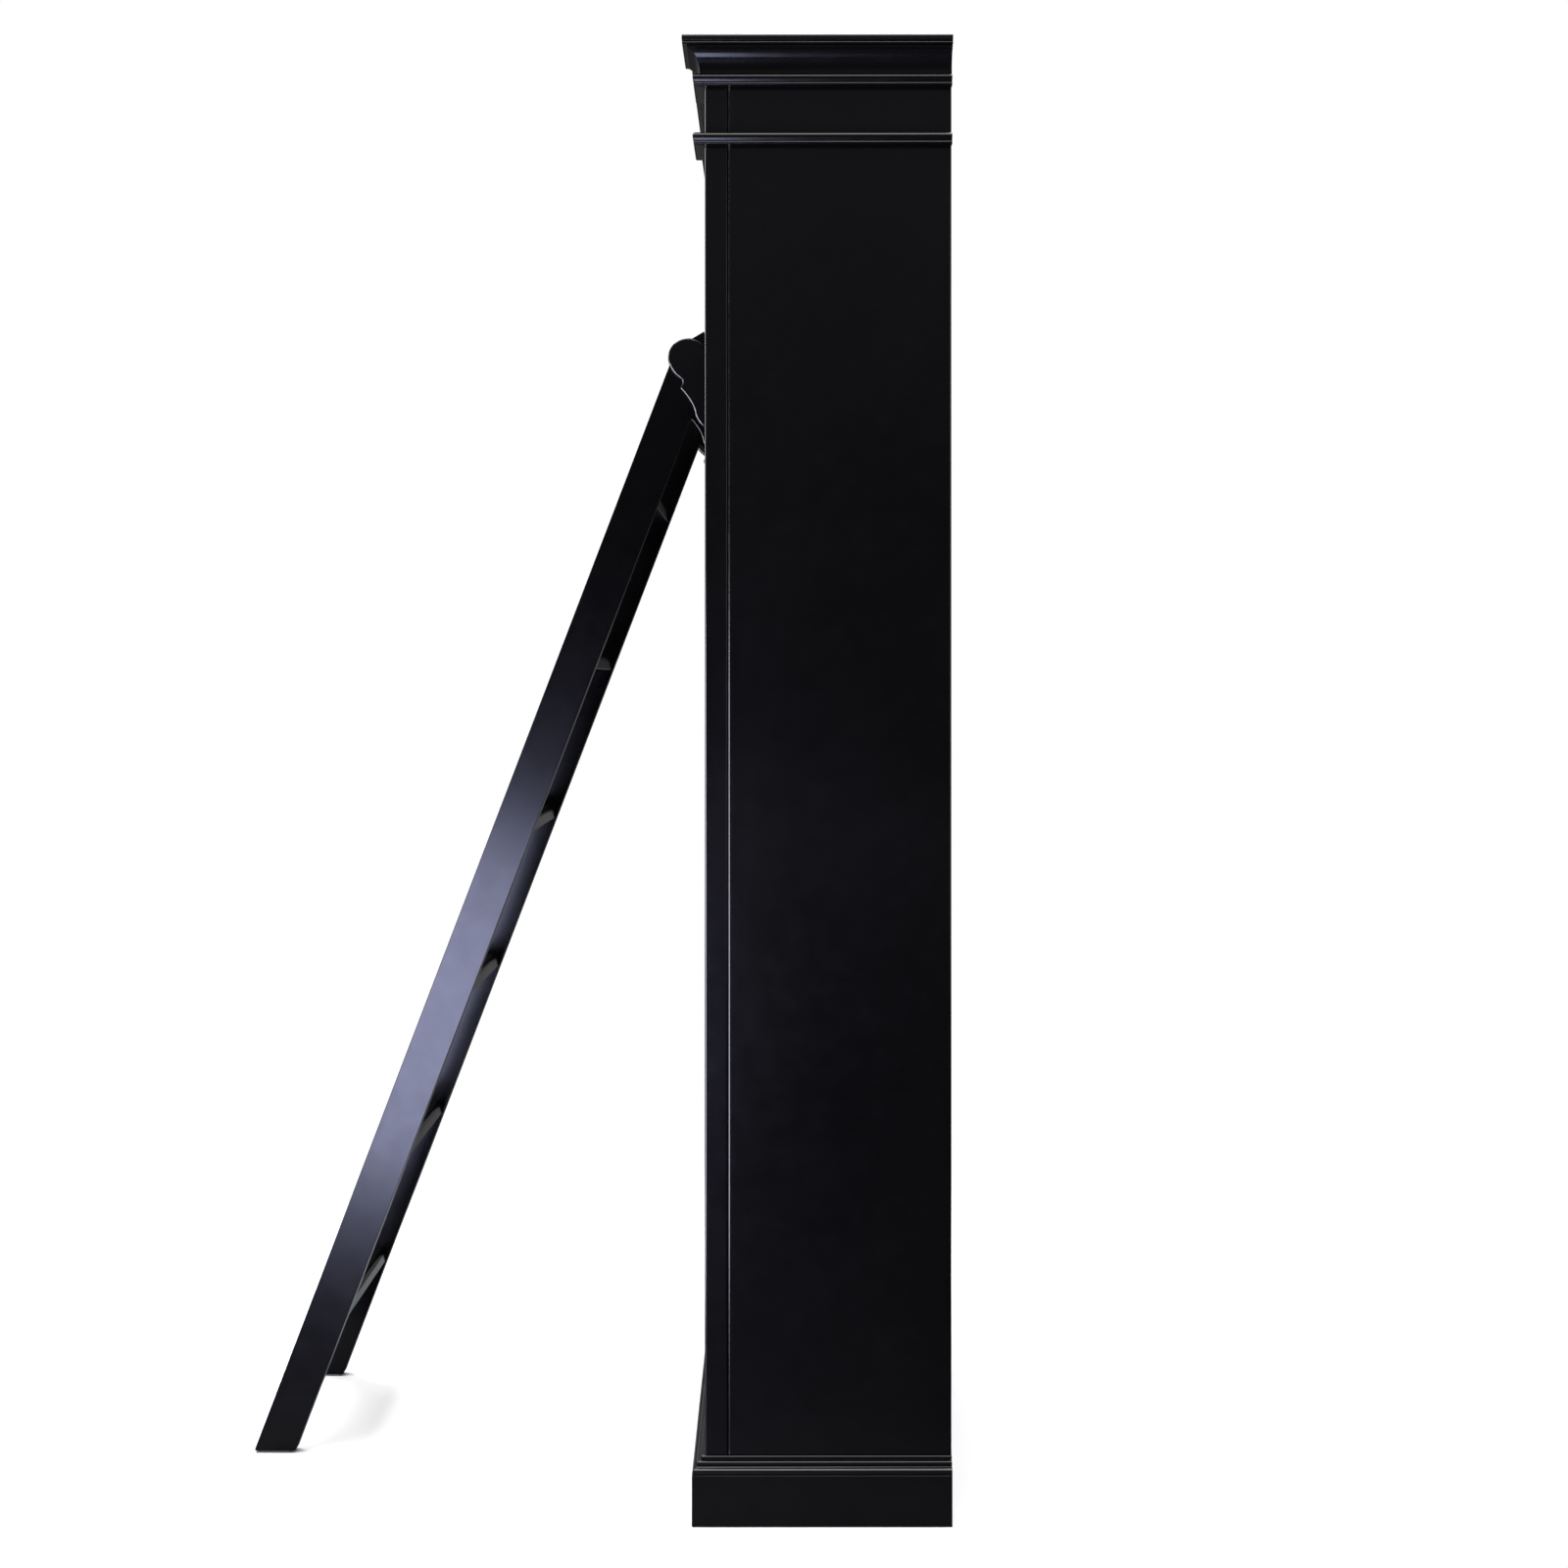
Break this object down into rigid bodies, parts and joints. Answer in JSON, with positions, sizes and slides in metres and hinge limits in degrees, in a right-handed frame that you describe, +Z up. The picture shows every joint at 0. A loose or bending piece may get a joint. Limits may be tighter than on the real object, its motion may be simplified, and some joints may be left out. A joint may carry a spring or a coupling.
{
  "type": "library bookcase with ladder",
  "caption": "Tall open-shelved library bookcase with moulded cornice and plinth, and a leaning ladder that hooks over and slides along a rail on scroll brackets.",
  "frame": {"origin": "on the floor at the middle of the case's footprint, under the plinth's centre bearer", "axes": "+Z up, -Y out of the open front towards the ladder's foot, X along the case's width"},
  "size_m": [1.284, 1.0702, 2.134],
  "materials": {
    "lacquer": "satin black lacquer",
    "rail_steel": "dark, satin",
    "glide_nylon": "matte",
    "foot_rubber": "matte"
  },
  "bodies": {
    "case": {"side_panel_right": "lacquer", "side_panel_left": "lacquer", "pilaster_right": "lacquer", "pilaster_left": "lacquer", "foot_rail": "lacquer", "ladder_rail_board": "lacquer", "frieze_board": "lacquer", "centre_stile_lower": "lacquer", "centre_stile_upper": "lacquer", "divider_lower": "lacquer", "divider_upper": "lacquer", "bottom_panel": "lacquer", "fixed_shelf": "lacquer", "top_panel": "lacquer", "shelf_right_1": "lacquer", "shelf_right_2": "lacquer", "shelf_right_3": "lacquer", "shelf_right_4": "lacquer", "shelf_left_1": "lacquer", "shelf_left_2": "lacquer", "shelf_left_3": "lacquer", "shelf_left_4": "lacquer", "back_panel": "lacquer", "plinth_front": "lacquer", "plinth_left": "lacquer", "plinth_right": "lacquer", "plinth_back_bearer": "lacquer", "plinth_centre_bearer": "lacquer", "base_cap_front": "lacquer", "base_cap_left": "lacquer", "base_cap_right": "lacquer", "lower_bead_front": "lacquer", "lower_bead_left": "lacquer", "lower_bead_right": "lacquer", "upper_bead_front": "lacquer", "upper_bead_left": "lacquer", "upper_bead_right": "lacquer", "cornice_cove_front": "lacquer", "cornice_cove_left": "lacquer", "cornice_cove_right": "lacquer", "cornice_cap": "lacquer", "rail_bracket_inner_right": "lacquer", "rail_bracket_inner_left": "lacquer", "rail_bracket_end_right": "lacquer", "rail_bracket_end_left": "lacquer", "ladder_rail": "rail_steel"},
    "glides": {"rail_saddle_right": "glide_nylon", "rail_saddle_left": "glide_nylon"},
    "ladder": {"ladder_stile_right": "lacquer", "ladder_stile_left": "lacquer", "ladder_tread_1": "lacquer", "ladder_tread_2": "lacquer", "ladder_tread_3": "lacquer", "ladder_tread_4": "lacquer", "ladder_tread_5": "lacquer", "ladder_tread_6": "lacquer", "ladder_foot_pad_right": "foot_rubber", "ladder_foot_pad_left": "foot_rubber"}
  },
  "joints": [
    {"name": "ladder_slide", "type": "slide", "parent": "case", "child": "glides", "axis": [1, 0, 0], "range_m": [-0.03, 0.225]},
    {"name": "ladder_swing", "type": "hinge", "parent": "glides", "child": "ladder", "pos_m": [0.078, -0.2033, 1.6806], "axis": [-1, 0, 0], "range_deg": [0, 12]}
  ]
}
